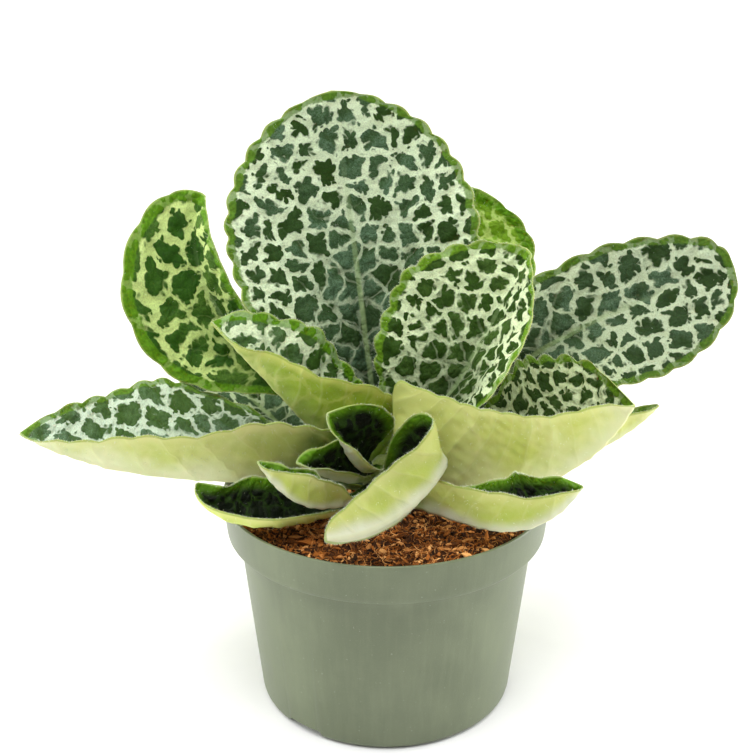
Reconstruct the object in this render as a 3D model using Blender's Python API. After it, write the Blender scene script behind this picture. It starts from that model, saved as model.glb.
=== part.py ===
"""A potted streptocarpus: patterned leaves in a rosette, on a crown in soil, in a plastic pot.

The pot stands on its flat base, whose centre is the origin, with +Z up and the front at -Y.
Sizes are in millimetres and become metres where each mesh is made.
"""
import math

import bmesh
import bpy
import numpy as np

MM = 0.001
CLEARANCE = 0.3

# Pot: a round nursery pot, 12 cm across its rim
POT_RIM_RADIUS = 60.0
POT_HEIGHT = 82.0
POT_WALL = 1.4
POT_FLOOR = 1.6
LIP_ROUNDING = 0.6
FLOOR_ROUNDING = 1.4
BAND_HEIGHT = 15.5
BAND_FOOT_RADIUS = 58.5
BODY_TOP_RADIUS = 54.2
BODY_FOOT_RADIUS = 47.0
FOOT_ROUNDING = 3.0
STEP_ROUNDING = 0.8
POT_SIDES = 72
DRAIN_SLOTS = 3
DRAIN_FIRST_ANGLE = -10.0
DRAIN_WIDTH = 18.0
DRAIN_HEIGHT = 3.0
DRAIN_INNER_RADIUS = 38.0

# Soil and crown
SOIL_LEVEL = 76.4
SOIL_LUMPS = 0.55
SOIL_RISE = 1.6
SOIL_RISE_START = 30.0
SOIL_RINGS = 12
SOIL_SIDES = 72
CROWN_RADIUS = 8.6
CROWN_FOOT = 60.0
CROWN_SHOULDER = 84.0
CROWN_NECK_RADIUS = 6.2
CROWN_TOP = 94.0
CROWN_ROUNDING = 3.0
CROWN_SIDES = 28

# Leaf blades
BLADE = 0.8
RIB_EXTRA = 1.6
RIB_LENGTH = 0.35
STALK_HALF_WIDTH = 2.6
LEAST_HALF_WIDTH = 1.0
KEEL_ROUNDING = 0.07
KEEL_BLEND = 0.15
FULL_FOLD_WIDTH = 8.0
LAST_GAP = 1.6
STEEPEST_EDGE = 2.0
MARGIN_STEPS = 400


def leaf(name, rib, face, half, **shape):
    """One leaf's dimensions; a pair of values holds the left and the right half."""
    values = dict(widest=0.55, base=0.8, tip=0.5, fold=30, curl=10, teeth=9, tooth=1.2)
    values.update(wave=1.2, waves=3, stalk=0.08, ear=0, columns=3)
    values.update(shape)
    values.setdefault("fold_end", values["fold"])
    return dict(name=name, rib=rib, face=face, half=half, **values)


# Each leaf: four points of its midrib from base to tip, and the way its upper side faces.
# half is the half width; widest, base and tip shape the outline; fold and curl are in degrees.
LEAVES = [
    leaf("leaf_back_tall",
         rib=[(-1, 5.5, 84), (-7, 26.5, 124), (-13, 42, 170), (-20, 44, 219)],
         face=[(0, -0.7, 0.7), (0, -0.95, 0.3)], half=(50, 50),
         widest=0.58, base=(0.5, 0.7), fold=(42, 18), fold_end=8, curl=(10, 25),
         teeth=18, tooth=1.7, stalk=0.12),
    leaf("leaf_left_upright",
         rib=[(-6, 4, 84), (-37, 30, 108), (-65, 40, 140), (-69, 46, 181)],
         face=[(-0.4, -0.6, 0.7), (-0.5, -0.8, 0.3)], half=(33, 22),
         widest=(0.5, 0.7), base=(1.4, 1.4), tip=(0.5, 0.35), fold=32, fold_end=(32, 30),
         teeth=12, tooth=1.1, stalk=0.3),
    leaf("leaf_behind_right",
         rib=[(3, 5, 84), (13, 46, 105), (26, 76, 139), (38, 88, 171)],
         face=[(0, -0.5, 0.85), (0.1, -0.85, 0.5)], half=(34, 34),
         widest=0.6, base=0.9, fold=25, fold_end=15, teeth=12, tooth=1.2, stalk=0.25),
    leaf("leaf_right_spread",
         rib=[(6, 3, 84), (43, 24, 115), (82, 34, 136), (128, 30, 157)],
         face=[(0, -0.5, 0.85), (-0.1, -0.8, 0.6)], half=(26, 34),
         widest=(0.5, 0.66), base=(0.4, 1.2), tip=(0.35, 0.4), fold=20, fold_end=5, curl=15,
         teeth=14, tooth=1.4, stalk=0.15),
    leaf("leaf_middle_right",
         rib=[(3, 2, 88), (19, 6, 109), (36, 10, 138), (49, 11, 170)],
         face=[(-0.4, -0.7, 0.6), (-0.5, -0.8, 0.3)], half=(38, 36),
         widest=0.6, base=(0.8, 2.1), fold=(28, 40), fold_end=(20, 38), curl=15,
         teeth=12, tooth=1.6, stalk=0.1),
    leaf("leaf_front_right_folded",
         rib=[(4.8, -5.6, 87.5), (25, -15.5, 88), (56, -23, 96), (84, -26, 126)],
         face=[(0, 0.05, 1), (-0.2, 0.2, 1)], half=(52, 41),
         widest=(0.74, 0.1), base=(2.4, 0.2), tip=(0.2, 0.55), fold=(58, 83),
         fold_end=(40, 70), curl=(10, 5), teeth=12, tooth=(2.2, 0.7), wave=0.3, stalk=0,
         ear=(0, 5)),
    leaf("leaf_right_low",
         rib=[(7, 0, 80), (35, 12, 83), (70, 18, 86), (101, 16, 108)],
         face=[(0, 0, 1), (-0.2, 0, 1)], half=(18, 18),
         tip=0.7, fold=(30, 50), teeth=7, columns=2),
    leaf("leaf_front_right_low",
         rib=[(6, -6, 79), (21, -32, 87), (43, -48, 90), (65, -43, 104)],
         face=[(0, 0, 1), (0, 0.1, 1)], half=(20, 17.4),
         widest=(0.7, 0.5), base=(2.2, 0.9), tip=(0.45, 0.6), fold=(56, 68),
         teeth=7, tooth=0.6, wave=0.3, stalk=0, columns=2),
    leaf("leaf_front_curled",
         rib=[(4.2, -9.8, 87.5), (19.4, -28, 106.3), (9, -46.5, 98.8), (-20.5, -61, 92.7)],
         face=[(0.1, -1, 0), (-1, 0, 0), (0.1, 0.93, -0.38)], half=(17.5, 3.5),
         widest=(0.3, 0.6), base=(0.4, 0.8), tip=(0.38, 0.5), fold=(5, 85), curl=(10, 10),
         teeth=8, tooth=0.5, wave=0.3, stalk=0, columns=2),
    leaf("leaf_front_cupped",
         rib=[(-5, -5.5, 93), (-10, -13, 97), (-15, -20, 108), (-20, -24, 122)],
         face=[(0.3, -0.8, 0.5), (0.4, -0.85, 0.3)], half=(10, 20),
         widest=(0.4, 0.7), base=(0.5, 1.2), tip=(0.8, 0.32), fold=(92, 20),
         curl=(5, 10), teeth=6, tooth=0.4, wave=0.2, stalk=0, columns=2),
    leaf("leaf_front_left_small",
         rib=[(-5, -5, 84), (-18, -28, 89), (-31, -39, 96.5), (-43, -39, 111)],
         face=[(0.1, 0, 1), (0.3, 0, 0.9)], half=(13, 12),
         widest=0.6, base=1.5, tip=0.8, fold=(70, 65),
         teeth=6, tooth=0.6, wave=0.5, columns=2),
    leaf("leaf_front_left_low",
         rib=[(-5, -4, 79), (-28, -22, 81), (-51, -34, 86), (-65, -31, 99)],
         face=[(0, 0, 1), (0.1, 0, 1)], half=(15, 17),
         widest=0.5, base=0.6, tip=0.7, fold=(0, 50), curl=(70, 25),
         teeth=7, tooth=0.3, wave=0.2, columns=2),
    leaf("leaf_left_spread",
         rib=[(-7, 0, 82), (-42, -8, 89), (-83, -20, 97), (-126, -25, 115)],
         face=[(0, -0.05, 1), (0, -0.05, 1)], half=(32, 46),
         widest=(0.22, 0.52), base=(0.4, 1.5), tip=(0.9, 0.75), fold=(68, 21),
         fold_end=(55, 24), curl=(10, 5), teeth=13, tooth=1.3),
    leaf("leaf_left_folded",
         rib=[(-6, 3.7, 87), (-22, -5, 104), (-41, -12.5, 129), (-60, -12, 151)],
         face=[(0.5, 0, 0.8), (0.65, 0, 0.75)], half=(35, 29),
         widest=(0.1, 0.5), base=(0.25, 0.9), tip=(1.8, 0.7), fold=(88, 52),
         fold_end=(65, 50), curl=(5, 10), teeth=10, tooth=(1.0, 1.4), stalk=0),
    leaf("leaf_left_inner",
         rib=[(-6, -4, 89), (-14, -13, 91.5), (-22, -20, 96.5), (-31, -25, 104)],
         face=[(0.1, 0, 1), (0.2, 0, 1)], half=(6, 17),
         widest=0.5, base=0.5, tip=0.7, fold=(60, 86), curl=(10, 5),
         teeth=5, tooth=0.4, wave=0.3, columns=2),
    leaf("leaf_rear_left",
         rib=[(-4, 4, 80), (-36, 38, 85), (-68, 66, 102), (-94, 80, 113)],
         face=[(0, -0.2, 1), (-0.2, -0.1, 1)], half=(28, 28),
         widest=0.58, base=0.9, fold=20, curl=15, stalk=0.2),
    leaf("leaf_rear_middle",
         rib=[(0, 6, 80), (-2, 56, 86), (-7, 92, 110), (-11, 116, 130)],
         face=[(0, -0.3, 1), (0, -0.3, 1)], half=(30, 30),
         widest=0.58, base=0.9, fold=18, curl=15, stalk=0.3),
    leaf("leaf_rear_right",
         rib=[(4, 4, 80), (29, 40, 88), (66, 66, 113), (102, 82, 126)],
         face=[(0, -0.2, 1), (0.2, -0.1, 1)], half=(28, 28),
         widest=0.58, base=0.9, fold=20, curl=15, stalk=0.2),
]


def clear_scene():
    """Remove whatever the new file holds."""
    for item in list(bpy.data.objects):
        bpy.data.objects.remove(item, do_unlink=True)


def material(name, color, roughness, metallic=0.0):
    """A plain finish for one sub-part."""
    mat = bpy.data.materials.new(name)
    mat.use_nodes = True
    shader = mat.node_tree.nodes["Principled BSDF"]
    shader.inputs["Base Color"].default_value = (*color, 1.0)
    shader.inputs["Roughness"].default_value = roughness
    shader.inputs["Metallic"].default_value = metallic
    return mat


def add_object(name, points, faces, mat, smooth_angle=None):
    """Make a mesh object from points in millimetres."""
    mesh = bpy.data.meshes.new(name)
    mesh.from_pydata((np.asarray(points, float) * MM).tolist(), [], faces)
    mesh.update()
    obj = bpy.data.objects.new(name, mesh)
    bpy.context.scene.collection.objects.link(obj)
    if mat is not None:
        mesh.materials.append(mat)
    if smooth_angle is not None:
        mesh.shade_smooth()
        mesh.set_sharp_from_angle(angle=math.radians(smooth_angle))
    return obj


def cut(obj, cutter):
    """Take the cutter's space out of an object."""
    cutter.hide_render = True
    cutter.display_type = "WIRE"
    modifier = obj.modifiers.new("cut_" + cutter.name, "BOOLEAN")
    modifier.operation = "DIFFERENCE"
    modifier.object = cutter


def pair(value):
    """A left and right value from one value or two."""
    return value if isinstance(value, tuple) else (value, value)


def unit(vectors):
    """Vectors scaled to length one."""
    vectors = np.asarray(vectors, float)
    return vectors / np.linalg.norm(vectors, axis=-1, keepdims=True)


def arc(centre, radius, start, end, steps):
    """Points of a round stretch of a profile, angles in degrees."""
    angles = np.radians(np.linspace(start, end, steps + 1))
    return [(centre[0] + radius * math.cos(a), centre[1] + radius * math.sin(a)) for a in angles]


def turned(name, profile, sides, mat):
    """Turn a profile of (radius, height) points that starts and ends on the axis."""
    bm = bmesh.new()
    verts = [bm.verts.new((r * MM, 0.0, z * MM)) for r, z in profile]
    for first, second in zip(verts, verts[1:]):
        bm.edges.new((first, second))
    mesh = bpy.data.meshes.new(name)
    bm.to_mesh(mesh)
    bm.free()
    mesh.materials.append(mat)
    obj = bpy.data.objects.new(name, mesh)
    bpy.context.scene.collection.objects.link(obj)
    screw = obj.modifiers.new("turn", "SCREW")
    screw.steps = sides
    screw.render_steps = sides
    screw.use_merge_vertices = True
    screw.merge_threshold = 0.00001
    screw.use_smooth_shade = True
    return obj


def pot_outer():
    """The pot's outside, from the top of the rim down to the axis."""
    band_foot = POT_HEIGHT - BAND_HEIGHT
    slope = math.degrees(math.atan2(band_foot, BODY_TOP_RADIUS - BODY_FOOT_RADIUS))
    foot = (BODY_FOOT_RADIUS - FOOT_ROUNDING, FOOT_ROUNDING)
    points = [(POT_RIM_RADIUS - POT_WALL / 2, POT_HEIGHT)]
    points.append((POT_RIM_RADIUS, POT_HEIGHT - LIP_ROUNDING))
    points.append((BAND_FOOT_RADIUS, band_foot + STEP_ROUNDING))
    points.append((BAND_FOOT_RADIUS - STEP_ROUNDING, band_foot))
    points.append((BODY_TOP_RADIUS, band_foot - STEP_ROUNDING))
    points += arc(foot, FOOT_ROUNDING, slope - 90.0, -90.0, 4)
    points.append((0.0, 0.0))
    return points


def pot_inner(gap=0.0):
    """The inside of the pot's wall, from the middle of the floor up to the rim, less a gap."""
    band_foot = POT_HEIGHT - BAND_HEIGHT
    inset = POT_WALL + gap
    points = [(0.0, POT_FLOOR + gap)]
    points.append((BODY_FOOT_RADIUS - inset - FLOOR_ROUNDING, POT_FLOOR + gap))
    points.append((BODY_FOOT_RADIUS - inset, POT_FLOOR + FLOOR_ROUNDING + gap))
    points.append((BODY_TOP_RADIUS - inset, band_foot + POT_WALL / 2 + gap))
    points.append((BAND_FOOT_RADIUS - inset - STEP_ROUNDING, band_foot + POT_WALL + gap))
    points.append((POT_RIM_RADIUS - inset, POT_HEIGHT - LIP_ROUNDING))
    return points


def build_pot():
    """The pot, with its stepped rim band and three drain slots in the foot."""
    mat = material("pot_plastic", (0.215, 0.275, 0.205), 0.55)
    pot = turned("pot", pot_inner() + pot_outer(), POT_SIDES, mat)
    for index in range(DRAIN_SLOTS):
        middle = DRAIN_FIRST_ANGLE + index * 360.0 / DRAIN_SLOTS
        angles = np.radians(np.linspace(middle - DRAIN_WIDTH / 2, middle + DRAIN_WIDTH / 2, 5))
        outline = [(BODY_TOP_RADIUS * math.cos(a), BODY_TOP_RADIUS * math.sin(a)) for a in angles]
        outline += [(DRAIN_INNER_RADIUS * math.cos(a), DRAIN_INNER_RADIUS * math.sin(a))
                    for a in reversed(angles)]
        count = len(outline)
        points = [(x, y, -1.0) for x, y in outline] + [(x, y, DRAIN_HEIGHT) for x, y in outline]
        faces = [tuple(reversed(range(count))), tuple(range(count, 2 * count))]
        faces += [(i, (i + 1) % count, (i + 1) % count + count, i + count) for i in range(count)]
        cut(pot, add_object("drain_cutter_%d" % index, points, faces, None))


def soil_height(x, y):
    """Height of the lumpy soil: three crossed ripples over a level that rises to the wall."""
    radius = np.hypot(x, y)
    lumps = np.sin(0.31 * x + 0.8) * np.sin(0.27 * y + 0.3 * np.sin(0.19 * x))
    lumps = lumps + 0.6 * np.sin(0.55 * x - 0.43 * y + 1.1) * np.sin(0.38 * x + 0.61 * y)
    rise = np.clip((radius - SOIL_RISE_START) / (BAND_FOOT_RADIUS - SOIL_RISE_START), 0, 1) ** 2
    return SOIL_LEVEL + SOIL_RISE * rise + SOIL_LUMPS * lumps


def build_soil():
    """Soil that fills the pot, with a lumpy top and a plain hole for the crown."""
    hole = CROWN_RADIUS + CLEARANCE
    wall = pot_inner(CLEARANCE)[1:]
    top_radius = np.interp(SOIL_LEVEL + SOIL_RISE, [z for r, z in wall], [r for r, z in wall])
    wall = wall[:-1]
    rings = [(0.0, CROWN_FOOT - CLEARANCE), (hole, CROWN_FOOT - CLEARANCE)]
    rings += [(r, None) for r in np.linspace(hole, top_radius, SOIL_RINGS)]
    rings += list(reversed(wall)) + [(0.0, wall[0][1])]
    angles = np.arange(SOIL_SIDES) * 2 * math.pi / SOIL_SIDES
    points = []
    starts = []
    for radius, height in rings:
        starts.append(len(points))
        if radius == 0.0:
            points.append((0.0, 0.0, height))
            continue
        x = radius * np.cos(angles)
        y = radius * np.sin(angles)
        z = soil_height(x, y) if height is None else np.full_like(x, height)
        points += list(zip(x, y, z))
    faces = []
    for start, following in zip(starts, starts[1:]):
        for i in range(SOIL_SIDES):
            j = (i + 1) % SOIL_SIDES
            if start == 0:
                faces.append((start, following + i, following + j))
            elif following == starts[-1]:
                faces.append((start + i, following, start + j))
            else:
                faces.append((start + i, following + i, following + j))
                faces.append((start + i, following + j, start + j))
    mat = material("potting_soil", (0.035, 0.018, 0.010), 0.95)
    add_object("soil", points, faces, mat, smooth_angle=40)


def crown_profile(gap=0.0):
    """The crown's side, from the middle of its top down to its foot, grown by a gap."""
    points = [(0.0, CROWN_TOP + gap), (CROWN_NECK_RADIUS / 2 + gap, CROWN_TOP + gap)]
    points.append((CROWN_NECK_RADIUS + gap, CROWN_TOP - CROWN_ROUNDING + gap))
    points.append((CROWN_RADIUS + gap, CROWN_SHOULDER))
    points.append((CROWN_RADIUS + gap, CROWN_FOOT - gap))
    points.append((0.0, CROWN_FOOT - gap))
    return points


def build_crown():
    """The short stem that stands in the soil and carries the leaves, and its cutter."""
    mat = material("crown_stem", (0.20, 0.24, 0.07), 0.7)
    turned("crown", crown_profile(), CROWN_SIDES, mat)
    cutter = turned("crown_cutter", crown_profile(CLEARANCE), CROWN_SIDES, mat)
    return cutter


def midrib(points, s):
    """The cubic through four points at thirds of its length, and its direction."""
    points = np.asarray(points, float)
    stations = (0.0, 1 / 3, 2 / 3, 1.0)
    place = np.zeros((len(s), 3))
    ahead = np.zeros((len(s), 3))
    for point, station in zip(points, stations):
        a, b, c = [other for other in stations if other != station]
        scale = (station - a) * (station - b) * (station - c)
        place += np.outer((s - a) * (s - b) * (s - c) / scale, point)
        slope = (s - b) * (s - c) + (s - a) * (s - c) + (s - a) * (s - b)
        ahead += np.outer(slope / scale, point)
    return place, unit(ahead)


def outline(s, widest, base, tip):
    """Share of the half width: one at the widest station, curving to zero at both ends."""
    before = np.clip((widest - s) / widest, 0, 1)
    after = np.clip((s - widest) / (1 - widest), 0, 1)
    return (1 - before ** 2) ** base * (1 - after ** 2) ** tip


def half_width(spec, s, index):
    """Width of one half without its teeth: the blade's outline, but never under the stalk's."""
    half, widest, base, tip, ear = [pair(spec[key])[index] for key in
                                    ("half", "widest", "base", "tip", "ear")]
    blade = np.clip((s - spec["stalk"]) / (1 - spec["stalk"]), 0, 1)
    stalk = np.where(s < 0.5, STALK_HALF_WIDTH * (1 - s) ** 0.3, LEAST_HALF_WIDTH)
    width = outline(blade, widest, base, tip) * (half + ear * np.clip(1 - s / RIB_LENGTH, 0, 1) ** 2)
    return np.maximum(width, stalk)


def margin(spec):
    """Stations along the leaf, the count of teeth up to each, its width's slope and its length.

    The teeth are spread evenly along the edge, taken as the mean of the two halves' edges.
    """
    s = np.linspace(0, 1, MARGIN_STEPS + 1)
    travel = np.linalg.norm(np.diff(midrib(spec["rib"], s)[0], axis=0), axis=1)
    width = (half_width(spec, s, 0) + half_width(spec, s, 1)) / 2
    run = np.concatenate([[0], np.cumsum(np.hypot(travel, np.diff(width)))])
    slope = np.gradient(width) / np.gradient(np.concatenate([[0], np.cumsum(travel)]))
    return s, run / run[-1] * spec["teeth"], slope, travel.sum()


def leaf_surface(spec, s, t):
    """The blade's middle surface and its normals: s runs from base to tip, t from left to right.

    Each half leaves the midrib at its fold angle and bends up evenly by its curl angle;
    where a half is narrow its fold opens into a shallow channel. The teeth move the edge
    out and in, squarely across it where it narrows to the tip.
    """
    place, ahead = midrib(spec["rib"], s)
    face = [unit(vector) for vector in spec["face"]]
    middle = face[1] if len(face) == 3 else unit(face[0] + face[-1])
    k = s[:, None]
    facing = face[0] * (1 - k) ** 2 + middle * 2 * k * (1 - k) + face[-1] * k ** 2
    upper = unit(facing - (facing * ahead).sum(1, keepdims=True) * ahead)
    side = np.cross(ahead, upper)
    row, column = np.meshgrid(s, t, indexing="ij")
    reach = np.abs(column)
    keel = np.sqrt(column ** 2 + KEEL_ROUNDING ** 2) - KEEL_ROUNDING
    across, lift, lean, rise = np.zeros((4, *row.shape))
    fine, count, slope = margin(spec)[:3]
    teeth = np.abs(np.sin(math.pi * np.interp(s, fine, count)))[:, None] - 0.6
    slope = np.clip(np.interp(s, fine, slope), -STEEPEST_EDGE, 0)[:, None]
    ahead_shift = np.zeros_like(row)
    for index, sign in ((0, -1.0), (1, 1.0)):
        half, tooth = pair(spec["half"])[index], pair(spec["tooth"])[index]
        fold = math.radians(pair(spec["fold"])[index])
        fold_end = math.radians(pair(spec["fold_end"])[index])
        curl = math.radians(pair(spec["curl"])[index]) + 0.0001
        width = half_width(spec, s, index)[:, None]
        edge = tooth * teeth * np.clip(width / (0.4 * half), 0, 1) ** 2 * reach ** 6
        span = width + edge / np.hypot(1, slope)
        angle = (fold * (1 - row) + fold_end * row) * np.clip(width / FULL_FOLD_WIDTH, 0, 1)
        out = span * (np.sin(angle + curl * reach) - np.sin(angle)) / curl
        up = span * (np.cos(angle) - np.cos(angle + curl * keel)) / curl
        ripple = np.sin(2 * math.pi * spec["waves"] * row + 2 * index)
        up = up + spec["wave"] * ripple * reach ** 2 * np.clip(width / (0.5 * half), 0, 1)
        mine = column * sign > 0
        ahead_shift -= mine * edge * slope / np.hypot(1, slope)
        across += mine * sign * out
        lift += mine * up
        near = 0.5 + 0.5 * np.clip(column * sign / KEEL_BLEND, -1, 1)
        lean -= near * sign * np.sin(angle + curl * reach)
        rise += near * np.cos(angle + curl * reach)
    side = side[:, None, :]
    upper = upper[:, None, :]
    middle = place[:, None, :] + across[..., None] * side + lift[..., None] * upper
    middle += ahead_shift[..., None] * ahead[:, None, :]
    return middle, unit(lean[..., None] * side + rise[..., None] * upper)


def build_leaf(spec, mat, crown_cutter):
    """A leaf as one thin solid: both faces split alike, a strip round the edge, one tip point."""
    fine, count, _, length = margin(spec)
    s = np.interp(np.arange(2 * spec["teeth"]) / 2, count, fine)
    s = np.append(s[(1 - s) * length > LAST_GAP], 1.0)
    t = np.linspace(-1, 1, 2 * spec["columns"] + 1)
    middle, normal = leaf_surface(spec, s, t)
    below = BLADE / 2 + RIB_EXTRA * np.outer(np.clip(1 - s / RIB_LENGTH, 0, 1), 1 - np.abs(t))
    upper = middle + normal * BLADE / 2
    lower = middle - normal * below[..., None]
    columns = len(t)
    count = (len(s) - 1) * columns
    points = [upper[:-1].reshape(-1, 3), upper[-1:, columns // 2],
              lower[:-1].reshape(-1, 3), lower[-1:, columns // 2]]
    grid = np.arange(count).reshape(-1, columns)
    a, b, c, d = [part.ravel() for part in (grid[:-1, :-1], grid[1:, :-1], grid[1:, 1:], grid[:-1, 1:])]
    last = grid[-1]
    point = np.full(columns - 1, count)
    top = np.concatenate([np.stack([a, c, b], 1), np.stack([a, d, c], 1),
                          np.stack([last[:-1], last[1:], point], 1)])
    bottom = top[:, ::-1] + count + 1
    ring = np.concatenate([grid[0, :], grid[1:, -1], [count], grid[:0:-1, 0]])
    after = np.roll(ring, -1)
    beneath = ring + count + 1
    rim = np.concatenate([np.stack([ring, beneath, after], 1),
                          np.stack([after, beneath, after + count + 1], 1)])
    faces = np.concatenate([top, bottom, rim]).tolist()
    obj = add_object(spec["name"], np.concatenate(points), faces, mat, smooth_angle=50)
    cut(obj, crown_cutter)


def build_leaves(crown_cutter):
    """All the leaves, each cut clear of the crown at its base."""
    mat = material("leaf_green", (0.13, 0.23, 0.06), 0.6)
    for spec in LEAVES:
        build_leaf(spec, mat, crown_cutter)


clear_scene()
build_pot()
build_soil()
build_leaves(build_crown())
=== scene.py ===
import math

import bpy
import numpy as np
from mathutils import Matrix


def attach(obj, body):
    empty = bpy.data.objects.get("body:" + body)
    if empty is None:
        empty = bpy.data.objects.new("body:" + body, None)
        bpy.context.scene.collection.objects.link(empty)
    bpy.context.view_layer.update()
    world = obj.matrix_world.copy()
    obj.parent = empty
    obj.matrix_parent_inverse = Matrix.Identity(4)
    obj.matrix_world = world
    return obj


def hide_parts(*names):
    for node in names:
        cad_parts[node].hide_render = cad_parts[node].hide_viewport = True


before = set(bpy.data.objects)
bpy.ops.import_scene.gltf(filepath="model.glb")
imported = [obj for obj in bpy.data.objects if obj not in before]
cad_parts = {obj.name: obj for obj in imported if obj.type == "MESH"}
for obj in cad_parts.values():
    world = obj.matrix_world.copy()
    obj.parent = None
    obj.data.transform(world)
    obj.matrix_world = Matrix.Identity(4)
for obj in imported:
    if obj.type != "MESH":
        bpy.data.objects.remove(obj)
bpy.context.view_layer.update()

# ---- The pot
# A round nursery pot, 12 cm across the rim, injection moulded in one piece from matt sage
# green plastic. A slightly wider band under the rim steps in to the tapered body, and three
# shallow drain notches are moulded into the foot.

MM = 0.001
POT_RIM_RADIUS = 60.0
POT_HEIGHT = 82.0
POT_WALL = 1.4
POT_FLOOR = 1.6
BAND_FOOT = 66.5
BAND_FOOT_RADIUS = 58.5
BODY_TOP_RADIUS = 54.2
BODY_FOOT_RADIUS = 47.0
NOTCH_ANGLES = (-10.0, 110.0, 230.0)
NOTCH_HALF_WIDTH = 9.5
NOTCH_HEIGHT = 3.2
NOTCH_INNER_RADIUS = 38.0
POT_SIDES = 240
BAND_BEND = (59.3, 73.5)
FLOOR_RING = 30.0
POLE_RADIUS = 0.4
WALL_BENDS = (4, 1.5, 1.2, 1.2, 0.65, 0.65, 4, 1.8, 0.9, 1.5, 3.4, 4)


def linear(red, green, blue, share=1.0):
    """A share of a screen colour of 0 to 255, as the linear light that a shader takes."""
    screen = np.array([red, green, blue]) / 255.0
    return tuple(share * np.where(screen <= 0.04045, screen / 12.92, ((screen + 0.055) / 1.055) ** 2.4))


class Wire:
    """One output socket in a material; a sum or product of wires adds its Math nodes."""

    def __init__(self, tree, socket=None):
        self.tree = tree
        self.socket = socket

    def node(self, kind, settings, sockets, output=0):
        """A node of a kind: its settings go in first, then the values or wires of its sockets."""
        made = self.tree.nodes.new(kind)
        for name, value in settings.items():
            setattr(made, name, value)
        for name, value in sockets.items():
            if isinstance(value, Wire):
                self.tree.links.new(value.socket, made.inputs[name])
            else:
                made.inputs[name].default_value = value
        return Wire(self.tree, made.outputs[output])

    def place(self):
        """The position in the object's own frame, in metres."""
        return self.node("ShaderNodeTexCoord", {}, {}, output=3)

    def map(self, name):
        """The piece's own map of that name."""
        return self.node("ShaderNodeUVMap", {"uv_map": name}, {})

    def math(self, operation, first, second=0.0):
        return self.node("ShaderNodeMath", {"operation": operation}, {0: first, 1: second})

    def __add__(self, other):
        return self.math("ADD", self, other)

    def __radd__(self, other):
        return self.math("ADD", other, self)

    def __sub__(self, other):
        return self.math("SUBTRACT", self, other)

    def __rsub__(self, other):
        return self.math("SUBTRACT", other, self)

    def __mul__(self, other):
        return self.math("MULTIPLY", self, other)

    def __rmul__(self, other):
        return self.math("MULTIPLY", other, self)

    def __truediv__(self, other):
        return self.math("DIVIDE", self, other)

    def __rtruediv__(self, other):
        return self.math("DIVIDE", other, self)

    def size(self):
        return self.math("ABSOLUTE", self)

    def least(self, other):
        return self.math("MINIMUM", self, other)

    def most(self, other):
        return self.math("MAXIMUM", self, other)

    def rise(self, low, high):
        """A smooth step from 0 at low to 1 at high; it falls where low is above high."""
        settings = {"interpolation_type": "SMOOTHSTEP"}
        return self.node("ShaderNodeMapRange", settings, {0: self, 1: low, 2: high})

    def blend(self, first, second):
        """The first colour where this wire is 0 and the second where it is 1.

        Each is a wire or a screen colour, which may end in the share that its light is cut to.
        """
        colors = [c if isinstance(c, Wire) else (*linear(*c), 1.0) for c in (first, second)]
        sockets = {0: self, 6: colors[0], 7: colors[1]}
        return self.node("ShaderNodeMix", {"data_type": "RGBA"}, sockets, output=2)

    def noise(self, scale, detail=1.0, roughness=0.5, output=0):
        """Noise from 0 to 1 at this wire's position, or as a colour."""
        sockets = {"Vector": self, "Scale": scale, "Detail": detail, "Roughness": roughness}
        return self.node("ShaderNodeTexNoise", {}, sockets, output)

    def part(self, index):
        """The x, y or z of a vector."""
        return self.node("ShaderNodeSeparateXYZ", {}, {0: self}, index)

    def moved(self, other):
        return self.node("ShaderNodeVectorMath", {"operation": "ADD"}, {0: self, 1: other})

    def stretched(self, factors):
        return self.node("ShaderNodeVectorMath", {"operation": "MULTIPLY"}, {0: self, 1: factors})

    def bump(self, strength, distance):
        """A normal that follows this wire as a height, in units of the distance."""
        sockets = {"Strength": strength, "Distance": distance, "Height": self}
        return self.node("ShaderNodeBump", {}, sockets)


def finish(name, **constants):
    """A material with its fixed values, and the shader's wire to build on."""
    made = bpy.data.materials.new(name)
    made.use_nodes = True
    shader = made.node_tree.nodes["Principled BSDF"]
    for socket, value in constants.items():
        shader.inputs[socket.replace("_", " ")].default_value = value
    return made, Wire(made.node_tree)


def lead(made, **wires):
    """Join wires to the shader of a material, and give the material back."""
    shader = made.node_tree.nodes["Principled BSDF"]
    for socket, wire in wires.items():
        made.node_tree.links.new(wire.socket, shader.inputs[socket.replace("_", " ")])
    return made


def put(name, data):
    """An object that holds a mesh, a light or a camera, in the scene."""
    made = bpy.data.objects.new(name, data)
    bpy.context.scene.collection.objects.link(made)
    return made


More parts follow.
